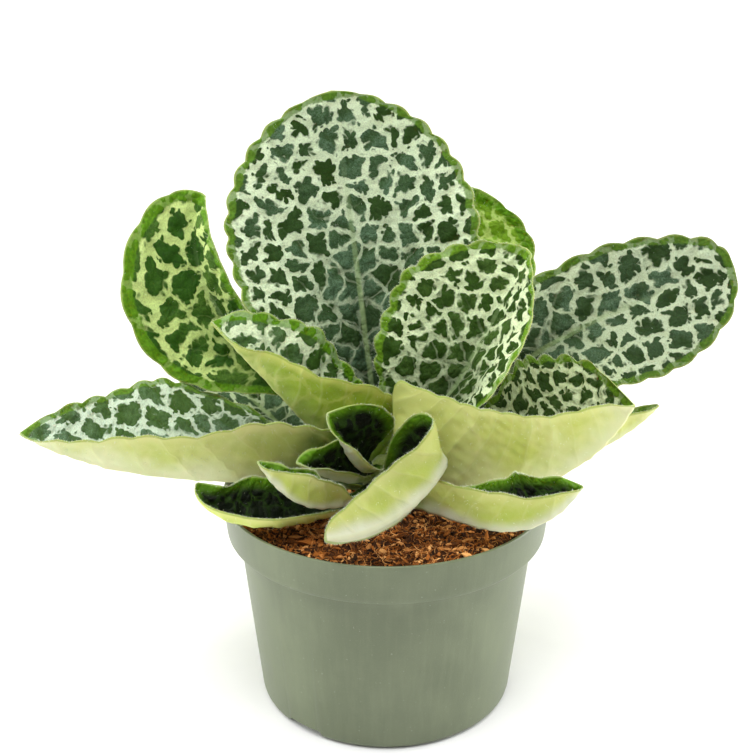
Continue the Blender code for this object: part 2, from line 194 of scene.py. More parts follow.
def add_piece(name, points, quads, triangles, materials, slot, nodes=(), finishes=None,
              maps=None, angle=180.0):
    """A mesh from points in millimetres and its faces, riding on the part's one body."""
    loops = np.concatenate([np.ravel(quads), np.ravel(triangles)]).astype(np.int32)
    sizes = np.repeat([4, 3], [len(quads), len(triangles)]).astype(np.int32)
    mesh = bpy.data.meshes.new(name)
    mesh.vertices.add(len(points))
    mesh.vertices.foreach_set("co", (np.asarray(points) * MM).astype(np.float32).ravel())
    mesh.loops.add(len(loops))
    mesh.loops.foreach_set("vertex_index", loops)
    mesh.polygons.add(len(sizes))
    mesh.polygons.foreach_set("loop_start", (np.cumsum(sizes) - sizes).astype(np.int32))
    mesh.update(calc_edges=True)
    for made in materials:
        mesh.materials.append(made)
    if finishes is not None:
        mesh.polygons.foreach_set("material_index", finishes.astype(np.int32))
    for title, values in (maps or {}).items():
        layer = mesh.uv_layers.new(name=title)
        layer.data.foreach_set("uv", values[loops].astype(np.float32).ravel())
    mesh.validate()
    mesh.shade_smooth()
    if angle < 180.0:
        mesh.set_sharp_from_angle(angle=math.radians(angle))
    piece = put(name, mesh)
    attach(piece, "root")
    if nodes:
        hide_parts(*nodes)


def turns(count):
    """Angles that go evenly round a circle."""
    return np.arange(count) * 2 * np.pi / count


def around_axis(radius, height, first_pole, last_pole):
    """A body closed round the upright axis, from a grid of radii and heights.

    Each row of the grid is one ring. Faces join neighbouring rings, and a fan at each end joins
    the end ring to its pole, a height on the axis. The rings run outwards over the top first, so
    that the faces point outwards.
    """
    rows, columns = radius.shape
    angles = turns(columns)
    rings = np.stack([radius * np.cos(angles), radius * np.sin(angles), height + 0 * angles], -1)
    grid = np.arange(rows * columns).reshape(rows, columns)
    after = np.roll(grid, -1, axis=1)
    quads = np.stack([grid[1:], after[1:], after[:-1], grid[:-1]], axis=-1).reshape(-1, 4)
    first_fan = np.stack([np.full(columns, rows * columns), grid[0], after[0]], 1)
    last_fan = np.stack([np.full(columns, rows * columns + 1), after[-1], grid[-1]], 1)
    poles = [[0, 0, first_pole], [0, 0, last_pole]]
    return np.concatenate([rings.reshape(-1, 3), poles]), quads, np.concatenate([first_fan, last_fan])


def unit(vectors):
    """Vectors scaled to length one."""
    vectors = np.asarray(vectors, float)
    return vectors / np.linalg.norm(vectors, axis=-1, keepdims=True)


def smooth_profile(corners, steps, pull):
    """Points along a broken line whose corners are rounded: each pull is the rounding's reach."""
    corners = np.asarray(corners, float)
    points = [corners[0]]
    for before, corner, after, reach in zip(corners, corners[1:], corners[2:], pull):
        start = corner + unit(before - corner) * reach
        end = corner + unit(after - corner) * reach
        k = np.linspace(0, 1, steps)[:, None]
        points.extend(start * (1 - k) ** 2 + corner * 2 * k * (1 - k) + end * k ** 2)
    points.append(corners[-1])
    return np.array(points)


def pot_grid():
    """The wall's closed section turned about the axis, with the foot raised at the notches.

    The section starts at the middle of the floor, runs up the inside, over the lip and down
    the outside to the middle of the base. Inside a notch's angles every point further out than
    the notch's start is lifted to the notch's height, and the floor above it by as much.
    """
    inside = [(POLE_RADIUS, POT_FLOOR), (FLOOR_RING, POT_FLOOR),
              (BODY_FOOT_RADIUS - POT_WALL, POT_FLOOR), (BODY_TOP_RADIUS - POT_WALL, BAND_FOOT),
              (BAND_FOOT_RADIUS - 2.0, BAND_FOOT + 2.0), (POT_RIM_RADIUS - POT_WALL, POT_HEIGHT)]
    outside = [(POT_RIM_RADIUS, POT_HEIGHT), BAND_BEND, (BAND_FOOT_RADIUS, BAND_FOOT + 0.3),
               (BODY_TOP_RADIUS + 0.5, BAND_FOOT - 0.6), (BODY_TOP_RADIUS - 0.2, BAND_FOOT - 3.0),
               (BODY_FOOT_RADIUS, 0.0), (FLOOR_RING, 0.0), (POLE_RADIUS, 0.0)]
    section = smooth_profile(inside + outside, 6, WALL_BENDS)
    angles = turns(POT_SIDES)
    radius = section[:, :1] + 0 * angles
    height = section[:, 1:] + 0 * angles
    turn = np.degrees(angles)
    away = np.min([np.abs((turn - middle + 180) % 360 - 180) for middle in NOTCH_ANGLES], axis=0)
    notch = np.clip((NOTCH_HALF_WIDTH - away) / 1.2 + 0.5, 0, 1)
    outward = np.clip((radius - NOTCH_INNER_RADIUS) / 2.0, 0, 1)
    inner = (np.arange(len(section)) < np.argmax(section[:, 1]))[:, None]
    lift = NOTCH_HEIGHT * notch * outward + inner * (POT_FLOOR * notch * outward)
    return radius, np.maximum(height, lift)


def pot_finish():
    """Matt sage plastic: cloudy pale scuffs, faint draw marks down the wall and fine grain."""
    made, start = finish("pot_plastic_matt", Specular_IOR_Level=0.5)
    place = start.place()
    cloud = place.noise(45.0, detail=4.0)
    draw = place.stretched((1.0, 1.0, 0.08)).noise(420.0, detail=3.0)
    grain = place.noise(2600.0, detail=2.0)
    mark = cloud.rise(0.35, 0.75) * 0.6 + draw.rise(0.4, 0.75) * 0.25 + grain.rise(0.5, 0.8) * 0.3
    spot = place.noise(900.0).rise(0.72, 0.8) * 0.5
    color = mark.blend((92, 101, 74), (112, 121, 93))
    color = spot.blend(color, (140, 146, 126))
    return lead(made, Base_Color=color, Roughness=0.36 + mark * 0.16,
                Normal=(grain + draw * 0.6).bump(0.25, 0.0002))


shell = around_axis(*pot_grid(), POT_FLOOR, 0.0)
add_piece("pot_shell", *shell, [pot_finish()], "pot_plastic", ["pot"], angle=40.0)


# ---- The soil
# Peat with coconut fibre fills the pot to a few millimetres under the rim. Its top is loose:
# dark crumbs, orange-brown chips of coir and thin curled fibres lie all over it.

SOIL_LEVEL = 76.4
SOIL_RISE = 1.6
SOIL_RISE_START = 30.0
SOIL_FOOT = 6.0
SOIL_SIDES = 264
SOIL_RINGS = 80
SOIL_REACH = 57.4
SOIL_WALL = ((56.9, 72.0), (56.0, 68.6), (52.3, 67.0), (46.2, 10.0),
             (45.0, SOIL_FOOT), (POLE_RADIUS, SOIL_FOOT))
CRUMBS = 4600
CRUMB_REACH = 57.2
FIBRES = 4200
FIBRE_REACH = 56.6
FIBRE_STEPS = 7


def waves(x, y, count, shortest, longest, seed):
    """A rough field from -1 to 1: many sine waves of random direction, length and phase."""
    draw = np.random.default_rng(seed)
    total = np.zeros(np.broadcast(x, y).shape)
    for heading, length, phase in draw.random((count, 3)):
        length = shortest * (longest / shortest) ** length
        swing = 2 * np.pi * (x * np.cos(2 * np.pi * heading) + y * np.sin(2 * np.pi * heading)) / length
        total += np.sin(swing + 2 * np.pi * phase)
    return total / count ** 0.5


def soil_lumps(x, y):
    """Two sizes of rough lumps in the soil's top."""
    return 0.7 * waves(x, y, 9, 7.0, 18.0, 5) + 0.5 * waves(x, y, 14, 2.4, 6.0, 6)


def soil_height(x, y):
    """The soil's level, rising to the wall, with its lumps."""
    rise = np.clip((np.hypot(x, y) - SOIL_RISE_START) / (BAND_FOOT_RADIUS - SOIL_RISE_START), 0, 1) ** 2
    return SOIL_LEVEL + SOIL_RISE * rise + soil_lumps(x, y) - 0.5


def soil_finish():
    """Damp peat, brown on the lumps and near black in the hollows as painted shade, with rusty specks
    of coir.
    """
    made, start = finish("potting_soil_crumbly", Roughness=0.95, Specular_IOR_Level=0.15)
    place = start.place()
    lump = place.noise(300.0, detail=6.0, roughness=0.65)
    speck = place.noise(900.0, detail=4.0, roughness=0.7)
    rust = place.noise(160.0, detail=3.0).rise(0.45, 0.65) * speck.rise(0.45, 0.62)
    # Painted shade: the colour darkens to near black where the bump's height is low.
    color = lump.rise(0.35, 0.7).blend((28, 17, 11), (84, 52, 30))
    color = rust.blend(color, (150, 92, 48))
    return lead(made, Base_Color=color, Normal=(lump + speck * 0.6).bump(0.9, 0.0012))


def crumb_finish():
    """Chips of coir and crumbs of peat: each one's shade comes from its map, a random tone with painted
    shade in the soil's hollows, plus grain.
    """
    made, start = finish("coir_and_peat", Roughness=0.9, Specular_IOR_Level=0.2)
    place = start.place()
    shade = start.map("shade").part(0)
    grain = place.noise(1500.0, detail=4.0, roughness=0.7)
    tone = (shade + (grain - 0.5) * 0.5).most(0.0).least(1.0)
    dark = tone.rise(0.0, 0.5).blend((26, 14, 7), (168, 98, 38))
    color = tone.rise(0.5, 1.0).blend(dark, (240, 176, 106))
    return lead(made, Base_Color=color, Normal=grain.bump(0.6, 0.0004))


def soil_piece():
    """Rings of points over the lumpy top, then down the side and in under the foot."""
    radii = np.linspace(POLE_RADIUS, SOIL_REACH, SOIL_RINGS)
    wall = np.array(SOIL_WALL)
    angles = turns(SOIL_SIDES)
    top = soil_height(radii[:, None] * np.cos(angles), radii[:, None] * np.sin(angles))
    radius = np.concatenate([radii, wall[:, 0]])[:, None] + 0 * angles
    height = np.concatenate([top, wall[:, 1:] + 0 * angles])
    body = around_axis(radius, height, soil_height(0.0, 0.0), SOIL_FOOT)
    add_piece("soil_body", *body, [soil_finish()], "potting_soil", ["soil"])


def scatter(count, seed, least=9.5, most=56.0):
    """Random places on the soil, thicker towards the rim where the fibre shows."""
    draw = np.random.default_rng(seed)
    radius = least + (most - least) * draw.random(count) ** 0.6
    angle = 2 * np.pi * draw.random(count)
    return draw, radius * np.cos(angle), radius * np.sin(angle)


def turned_frames(draw, count, flatness):
    """Random sets of three crossed unit vectors; flatness keeps the third one near upright."""
    third = unit(draw.normal(size=(count, 3)) * [flatness, flatness, 0.3] + [0, 0, 1])
    first = unit(np.cross(draw.normal(size=(count, 3)), third))
    return np.stack([first, np.cross(third, first), third], 1)


def crumb_piece(material):
    """Every crumb is a twenty-sided ball, stretched three ways and dented, kept inside the wall."""
    golden = (1 + 5 ** 0.5) / 2
    ball = np.array([(-1, golden, 0), (1, golden, 0), (-1, -golden, 0), (1, -golden, 0),
                     (0, -1, golden), (0, 1, golden), (0, -1, -golden), (0, 1, -golden),
                     (golden, 0, -1), (golden, 0, 1), (-golden, 0, -1), (-golden, 0, 1)])
    ball /= np.linalg.norm(ball[0])
    sides = np.array([(0, 11, 5), (0, 5, 1), (0, 1, 7), (0, 7, 10), (0, 10, 11), (1, 5, 9), (5, 11, 4),
                      (11, 10, 2), (10, 7, 6), (7, 1, 8), (3, 9, 4), (3, 4, 2), (3, 2, 6), (3, 6, 8),
                      (3, 8, 9), (4, 9, 5), (2, 4, 11), (6, 2, 10), (8, 6, 7), (9, 8, 1)])
    draw, x, y = scatter(CRUMBS, 11)
    large = draw.random(CRUMBS) > 0.97
    size = 0.3 + 1.1 * draw.random(CRUMBS) ** 3 + 1.0 * large
    stretch = size[:, None] * (0.4 + draw.random((CRUMBS, 3)) * [1.8, 0.3, 0.2])
    dents = 1 + 0.28 * draw.normal(size=(CRUMBS, 12, 1))
    shape = ball[None] * dents.clip(0.5, 1.6) * stretch[:, None, :]
    shape = np.einsum("nvi,nij->nvj", shape, turned_frames(draw, CRUMBS, 0.45))
    centre = np.stack([x, y, soil_height(x, y) + 0.25 * size], 1)
    # Painted shade: a random tone, darker where the crumb lies in a hollow of the soil's top.
    shade = draw.random(CRUMBS) ** 1.1 * np.clip(0.95 + 0.5 * soil_lumps(x, y), 0.15, 1)
    shade = (shade + 0.15 * large).repeat(12)
    points = (shape + centre[:, None]).reshape(-1, 3)
    points[:, :2] *= np.minimum(1, CRUMB_REACH / np.hypot(points[:, 0], points[:, 1]))[:, None]
    faces = (sides[None] + 12 * np.arange(CRUMBS)[:, None, None]).reshape(-1, 3)
    add_piece("soil_crumbs", points, (), faces, [material], "potting_soil",
              maps={"shade": np.stack([shade, shade], 1)}, angle=30.0)


def fibre_piece(material):
    """Every fibre is a three-sided tube along a bent line that hugs the soil and lifts a little."""
    draw, x, y = scatter(FIBRES, 23, most=54.5)
    k = np.linspace(-1, 1, FIBRE_STEPS)
    length = 1.4 + 5.5 * draw.random(FIBRES) ** 2
    heading = 2 * np.pi * draw.random(FIBRES)
    bend = draw.normal(size=FIBRES) * 1.5
    turn = heading[:, None] + bend[:, None] * k
    px = x[:, None] + np.cumsum(np.cos(turn), 1) * (length / FIBRE_STEPS)[:, None]
    py = y[:, None] + np.cumsum(np.sin(turn), 1) * (length / FIBRE_STEPS)[:, None]
    squeeze = np.minimum(1, FIBRE_REACH / np.hypot(px, py))
    px, py = px * squeeze, py * squeeze
    lift = 0.35 + 0.5 * draw.random(FIBRES)[:, None] * (1 + k * draw.choice([-1, 1], FIBRES)[:, None])
    pz = soil_height(px, py) + lift
    middle = np.stack([px, py, pz], -1)
    thick = (0.06 + 0.16 * draw.random(FIBRES) ** 2)[:, None, None, None]
    thick = thick * (1.15 - k ** 4)[:, None, None]
    around = turns(3)
    side = np.stack([-np.sin(turn), np.cos(turn), 0 * turn], -1)
    tube = side[:, :, None] * np.cos(around)[:, None] + np.array([0, 0, 1.0]) * np.sin(around)[:, None]
    points = middle[:, :, None] + tube * thick
    ring = np.arange(FIBRE_STEPS * 3).reshape(FIBRE_STEPS, 3)
    after = np.roll(ring, -1, axis=1)
    quads = np.stack([ring[:-1], after[:-1], after[1:], ring[1:]], -1).reshape(-1, 4)
    ends = np.array([ring[0][::-1], ring[-1]])
    shift = (3 * FIBRE_STEPS * np.arange(FIBRES))[:, None, None]
    # Painted shade: a random tone, darker where the fibre lies in a hollow of the soil's top.
    shade = (0.3 + 0.7 * draw.random(FIBRES)) * np.clip(0.95 + 0.5 * soil_lumps(x, y), 0.2, 1)
    shade = shade.repeat(3 * FIBRE_STEPS)
    add_piece("soil_fibres", points.reshape(-1, 3), (quads[None] + shift).reshape(-1, 4),
              (ends[None] + shift).reshape(-1, 3), [material], "potting_soil",
              maps={"shade": np.stack([shade, shade], 1)}, angle=60.0)


soil_piece()
coir = crumb_finish()
crumb_piece(coir)
fibre_piece(coir)


# ---- The crown
# The short stem that carries every leaf: soft, green and downy, ringed where leaf stalks
# leave it. It stands down in the soil.

CROWN_RADIUS = 8.6
CROWN_FOOT = 60.0
CROWN_TOP = 94.0
CROWN_SIDES = 72
CROWN_RIDGES = 5
RIDGE_HEIGHT = 0.25


def crown_finish():
    """Green plant tissue, browner towards the soil, with fine pale down."""
    made, start = finish("crown_stem_downy", Roughness=0.75, Sheen_Weight=0.3)
    place = start.place()
    patch = place.noise(220.0, detail=4.0)
    down = place.noise(2400.0, detail=2.0)
    height = place.part(2).rise(0.077, 0.088)
    color = (height * 0.7 + patch * 0.4).blend((74, 58, 36), (122, 140, 58))
    color = down.rise(0.62, 0.75).blend(color, (176, 182, 140))
    return lead(made, Base_Color=color, Normal=(patch + down * 0.4).bump(0.6, 0.0006))


corners = [(0.3, CROWN_TOP), (3.6, CROWN_TOP), (6.2, 91.0), (CROWN_RADIUS, 84.0),
           (CROWN_RADIUS, CROWN_FOOT), (0.3, CROWN_FOOT)]
section = smooth_profile(corners, 9, (1.5, 1.5, 3.0, 1.0))
angles = turns(CROWN_SIDES)
height = section[:, 1:] + 0 * angles
ridges = RIDGE_HEIGHT * np.sin(CROWN_RIDGES * angles + 0.5 * height) * (section[:, :1] > 3.0)
stub = around_axis(section[:, :1] + ridges, height, CROWN_TOP, CROWN_FOOT)
add_piece("crown_stub", *stub, [crown_finish()], "crown_stem", ["crown"])


# ---- The leaves
# Thick soft leaves grow in a rosette. The upper side is dark green under a silver network,
# puckered between sunken veins; the underside is pale with raised veins, and the scalloped
# edge is plain green. Fine white hairs cover both sides and stand out along the edge.

KEEL_ROUNDING = 0.07
KEEL_BLEND = 0.15
FULL_FOLD_WIDTH = 8.0
RIB_LENGTH = 0.35
STALK_HALF_WIDTH = 2.6
LEAST_HALF_WIDTH = 1.0
MARGIN_STEPS = 400
STEEPEST_EDGE = 2.0
SIDE_VEINS = 8
VEIN_SLANT = 0.62
VEIN_BEND = 0.009
PILLOW_HEIGHT = 0.95
BLISTER_HEIGHT = 0.4
LOBE = 2.6
SEAT_STEP = 310.0
ROW_STEP = 1.25
COLUMN_STEP = 1.45
EDGE_THICKNESS = 0.16
MIDDLE_THICKNESS = 0.2
HAIR_RADIUS = 0.06
EDGE_HAIRS_PER_MM = 14
FACE_HAIRS_PER_SQUARE_MM = 0.18


def leaf_look(**given):
    """The colours and strengths of one kind of leaf.

    Island, sheen, network and edge are the upper side's colours, the sheen being a painted
    reflection; under, deep and base are the underside's. In millimetres, spread is the network's
    half width, cell the size of an island, border the width of the plain edge and melt half the
    width of its fade. Net is the network's strength, cells that of the underside's cells, bloom that
    of the white along its midrib, and dark is how far the upper side darkens to the base, with less
    network and more painted shade there.
    """
    values = dict(under=(202, 210, 108), deep=(146, 172, 40), base=(112, 146, 12), border=3.0,
                  net=1.0, melt=0.5, cells=0.7, bloom=0.1, dark=0.0)
    values.update(given)
    return values


LOOKS = {
    "silver": leaf_look(island=(38, 68, 8), sheen=(98, 128, 98), network=(224, 241, 201),
                        edge=(92, 134, 34), under=(210, 213, 142), deep=(180, 192, 92),
                        base=(70, 106, 4), spread=0.96, cell=9.0, melt=0.4, cells=0.3, bloom=0.4),
    "broad": leaf_look(island=(64, 96, 30), sheen=(122, 150, 124), network=(222, 240, 212),
                       edge=(100, 142, 40), under=(204, 208, 136), deep=(176, 190, 92),
                       base=(66, 104, 2), net=0.95, spread=1.2, cell=10.8, cells=0.25,
                       bloom=0.45, dark=0.55),
    "mixed": leaf_look(island=(56, 90, 22), sheen=(92, 122, 78), network=(228, 244, 200),
                       edge=(92, 142, 12), border=3.6, spread=1.0, cell=9.4),
    "bright": leaf_look(island=(38, 82, 0), sheen=(92, 128, 44), network=(208, 230, 142),
                        edge=(92, 142, 12), border=4.4, net=0.95, spread=0.95, cell=11.0),
    "plain": leaf_look(island=(104, 146, 12), sheen=(120, 156, 36), network=(192, 216, 124),
                       edge=(84, 132, 4), border=5.0, net=0.75, spread=0.5, cell=9.0,
                       melt=0.8, cells=0.6),
    "fine": leaf_look(island=(42, 74, 2), sheen=(74, 104, 40), network=(230, 246, 196),
                      edge=(108, 152, 30), border=3.2, under=(216, 219, 142), deep=(190, 200, 92),
                      base=(204, 210, 120), spread=0.88, cell=8.2, melt=0.4, cells=0.3, bloom=0.5),
    "young": leaf_look(island=(4, 12, 0), sheen=(14, 30, 2), network=(46, 76, 12),
                       edge=(92, 140, 8), under=(214, 219, 134), deep=(172, 192, 48),
                       base=(124, 156, 20), net=0.7, spread=0.4, cell=7.0, melt=2.6,
                       cells=0.1, bloom=0.8),
}


def leaf(name, rib, face, half, look="silver", **shape):
    """One leaf's dimensions in millimetres and degrees; a pair holds the left and right half.

    Rib is four points that the midrib passes, and face is the way its upper side looks from base
    to tip. Half is the half width at the widest station; base and tip say how far the outline
    stays full to each end. A half rises by fold and bends on by curl. Teeth and waves are counts,
    tooth and wave are heights, stalk is the bare share of the midrib and ear is extra width
    beside the base. Dim scales the colours of the upper and the under side; below one it is
    painted shade.
    """
    values = dict(widest=0.55, base=0.8, tip=0.5, fold=30, curl=10, teeth=9, tooth=1.2)
    values.update(wave=1.2, waves=3, stalk=0.08, ear=0, dim=1.0)
    values.update(shape)
    values.setdefault("fold_end", values["fold"])
    return dict(name=name, rib=rib, face=face, half=half, look=look, **values)


LEAVES = [
    leaf("leaf_back_tall",
         rib=[(-1, 5.5, 84), (-7, 26.5, 124), (-13, 42, 170), (-20, 44, 219)],
         face=[(0, -0.7, 0.7), (0, -0.95, 0.3)], half=50,
         widest=0.58, base=(0.5, 0.7), fold=(42, 18), fold_end=8, curl=(10, 25),
         teeth=18, tooth=1.7, stalk=0.12),
    leaf("leaf_left_upright", look="bright",
         rib=[(-6, 4, 84), (-37, 30, 108), (-65, 40, 140), (-69, 46, 181)],
         face=[(-0.4, -0.6, 0.7), (-0.5, -0.8, 0.3)], half=(33, 22),
         widest=(0.5, 0.7), base=1.4, tip=(0.5, 0.35), fold=32, fold_end=(32, 30),
         teeth=12, tooth=1.1, stalk=0.3),
    leaf("leaf_behind_right", look="plain",
         rib=[(3, 5, 84), (13, 46, 105), (26, 76, 139), (38, 88, 171)],
         face=[(0, -0.5, 0.85), (0.1, -0.85, 0.5)], half=34,
         widest=0.6, base=0.9, fold=25, fold_end=15, teeth=12, stalk=0.25),
    leaf("leaf_right_spread", dim=(0.68, 0.8),
         rib=[(6, 3, 84), (43, 24, 115), (82, 34, 136), (128, 30, 157)],
         face=[(0, -0.5, 0.85), (-0.1, -0.8, 0.6)], half=(26, 34),
         widest=(0.5, 0.66), base=(0.4, 1.2), tip=(0.35, 0.4), fold=20, fold_end=5, curl=15,
         teeth=14, tooth=1.4, stalk=0.15),
    leaf("leaf_middle_right", look="fine",
         rib=[(3, 2, 88), (19, 6, 109), (36, 10, 138), (49, 11, 170)],
         face=[(-0.4, -0.7, 0.6), (-0.5, -0.8, 0.3)], half=(38, 36),
         widest=0.6, base=(0.8, 2.1), fold=(28, 40), fold_end=(20, 38), curl=15,
         teeth=12, tooth=1.6, stalk=0.1),
    leaf("leaf_front_right_folded", look="fine", dim=(0.72, 1.0),
         rib=[(4.8, -5.6, 87.5), (25, -15.5, 88), (56, -23, 96), (84, -26, 126)],
         face=[(0, 0.05, 1), (-0.2, 0.2, 1)], half=(52, 41),
         widest=(0.74, 0.1), base=(2.4, 0.2), tip=(0.2, 0.55), fold=(58, 83),
         fold_end=(40, 70), curl=(10, 5), teeth=12, tooth=(2.2, 0.7), wave=0.3, stalk=0,
         ear=(0, 5)),
    leaf("leaf_right_low",
         rib=[(7, 0, 80), (35, 12, 83), (70, 18, 86), (101, 16, 108)],
         face=[(0, 0, 1), (-0.2, 0, 1)], half=18,
         tip=0.7, fold=(30, 50), teeth=7),
    leaf("leaf_front_right_low", look="young", dim=(1.0, 0.78),
         rib=[(6, -6, 79), (21, -32, 87), (43, -48, 90), (65, -43, 104)],
         face=[(0, 0, 1), (0, 0.1, 1)], half=(20, 17.4),
         widest=(0.7, 0.5), base=(2.2, 0.9), tip=(0.45, 0.6), fold=(56, 68),
         teeth=7, tooth=0.6, wave=0.3, stalk=0),
    leaf("leaf_front_curled", look="young", dim=(1.0, 0.68),
         rib=[(4.2, -9.8, 87.5), (19.4, -28, 106.3), (9, -46.5, 98.8), (-20.5, -61, 92.7)],
         face=[(0.1, -1, 0), (-1, 0, 0), (0.1, 0.93, -0.38)], half=(17.5, 3.5),
         widest=(0.3, 0.6), base=(0.4, 0.8), tip=(0.38, 0.5), fold=(5, 85),
         teeth=8, tooth=0.5, wave=0.3, stalk=0),
    leaf("leaf_front_cupped", look="young",
         rib=[(-5, -5.5, 93), (-10, -13, 97), (-15, -20, 108), (-20, -24, 122)],
         face=[(0.3, -0.8, 0.5), (0.4, -0.85, 0.3)], half=(10, 20),
         widest=(0.4, 0.7), base=(0.5, 1.2), tip=(0.8, 0.32), fold=(92, 20),
         curl=(5, 10), teeth=6, tooth=0.4, wave=0.2, stalk=0),
    leaf("leaf_front_left_small", look="young", dim=(1.0, 0.8),
         rib=[(-5, -5, 84), (-18, -28, 89), (-31, -39, 96.5), (-43, -39, 111)],
         face=[(0.1, 0, 1), (0.3, 0, 0.9)], half=(13, 12),
         widest=0.6, base=1.5, tip=0.8, fold=(70, 65),
         teeth=6, tooth=0.6, wave=0.5),
    leaf("leaf_front_left_low", look="young",
         rib=[(-5, -4, 79), (-28, -22, 81), (-51, -34, 86), (-65, -31, 99)],
         face=[(0, 0, 1), (0.1, 0, 1)], half=(15, 17),
         widest=0.5, base=0.6, tip=0.7, fold=(0, 50), curl=(70, 25),
         teeth=7, tooth=0.3, wave=0.2),
    leaf("leaf_left_spread", look="broad",
         rib=[(-7, 0, 82), (-42, -8, 89), (-83, -20, 97), (-126, -25, 115)],
         face=[(0, -0.05, 1), (0, -0.05, 1)], half=(32, 46),
         widest=(0.22, 0.52), base=(0.4, 1.5), tip=(0.9, 0.75), fold=(68, 21),
         fold_end=(55, 24), curl=(10, 5), teeth=13, tooth=1.3),
    leaf("leaf_left_folded", look="mixed",
         rib=[(-6, 3.7, 87), (-22, -5, 104), (-41, -12.5, 129), (-60, -12, 151)],
         face=[(0.5, 0, 0.8), (0.65, 0, 0.75)], half=(35, 29),
         widest=(0.1, 0.5), base=(0.25, 0.9), tip=(1.8, 0.7), fold=(88, 52),
         fold_end=(65, 50), curl=(5, 10), teeth=10, tooth=(1.0, 1.4), stalk=0),
    leaf("leaf_left_inner", look="young",
         rib=[(-6, -4, 89), (-14, -13, 91.5), (-22, -20, 96.5), (-31, -25, 104)],
         face=[(0.1, 0, 1), (0.2, 0, 1)], half=(6, 17),
         widest=0.5, base=0.5, tip=0.7, fold=(60, 86), curl=(10, 5),
         teeth=5, tooth=0.4, wave=0.3),
    leaf("leaf_rear_left",
         rib=[(-4, 4, 80), (-36, 38, 85), (-68, 66, 102), (-94, 80, 113)],
         face=[(0, -0.2, 1), (-0.2, -0.1, 1)], half=28,
         widest=0.58, base=0.9, fold=20, curl=15, stalk=0.2),
    leaf("leaf_rear_middle",
         rib=[(0, 6, 80), (-2, 56, 86), (-7, 92, 110), (-11, 116, 130)],
         face=[(0, -0.3, 1), (0, -0.3, 1)], half=30,
         widest=0.58, base=0.9, fold=18, curl=15, stalk=0.3),
    leaf("leaf_rear_right",
         rib=[(4, 4, 80), (29, 40, 88), (66, 66, 113), (102, 82, 126)],
         face=[(0, -0.2, 1), (0.2, -0.1, 1)], half=28,
         widest=0.58, base=0.9, fold=20, curl=15, stalk=0.2),
]


def pair(value):
    """A left and right value from one value or two."""
    return value if isinstance(value, tuple) else (value, value)


def one_half(spec, index, *keys):
    """Values of one half of a leaf: the left for 0, the right for 1."""
    return [pair(spec[key])[index] for key in keys]


def midrib(points, s):
    """The cubic through four points at thirds of its length, and its direction."""
    stations = (0.0, 1 / 3, 2 / 3, 1.0)
    place = np.zeros((len(s), 3))
    ahead = np.zeros((len(s), 3))
    for point, station in zip(np.asarray(points, float), stations):
        a, b, c = [other for other in stations if other != station]
        scale = (station - a) * (station - b) * (station - c)
        place += np.outer((s - a) * (s - b) * (s - c) / scale, point)
        slope = (s - b) * (s - c) + (s - a) * (s - c) + (s - a) * (s - b)
        ahead += np.outer(slope / scale, point)
    return place, unit(ahead)


def outline(s, widest, base, tip):
    """Share of the half width: one at the widest station, curving to zero at both ends."""
    before = np.clip((widest - s) / widest, 0, 1)
    after = np.clip((s - widest) / (1 - widest), 0, 1)
    return (1 - before ** 2) ** base * (1 - after ** 2) ** tip


def half_width(spec, s, index):
    """Width of one half without its teeth: the blade's outline, but never under the stalk's."""
    half, widest, base, tip, ear = one_half(spec, index, "half", "widest", "base", "tip", "ear")
    blade = np.clip((s - spec["stalk"]) / (1 - spec["stalk"]), 0, 1)
    stalk = np.where(s < 0.5, STALK_HALF_WIDTH, LEAST_HALF_WIDTH) * (1 - s) ** 0.3
    width = outline(blade, widest, base, tip) * (half + ear * np.clip(1 - s / RIB_LENGTH, 0, 1) ** 2)
    return np.maximum(width, stalk)


def margin(spec):
    """Stations along the leaf, with the count of teeth, the width's slope and the distance to each.

    The teeth are spread evenly along the edge, taken as the mean of the two halves' edges.
    """
    s = np.linspace(0, 1, MARGIN_STEPS + 1)
    travel = np.linalg.norm(np.diff(midrib(spec["rib"], s)[0], axis=0), axis=1)
    width = (half_width(spec, s, 0) + half_width(spec, s, 1)) / 2
    run = np.concatenate([[0], np.cumsum(np.hypot(travel, np.diff(width)))])
    along = np.concatenate([[0], np.cumsum(travel)])
    return s, run / run[-1] * spec["teeth"], np.gradient(width) / np.gradient(along), along


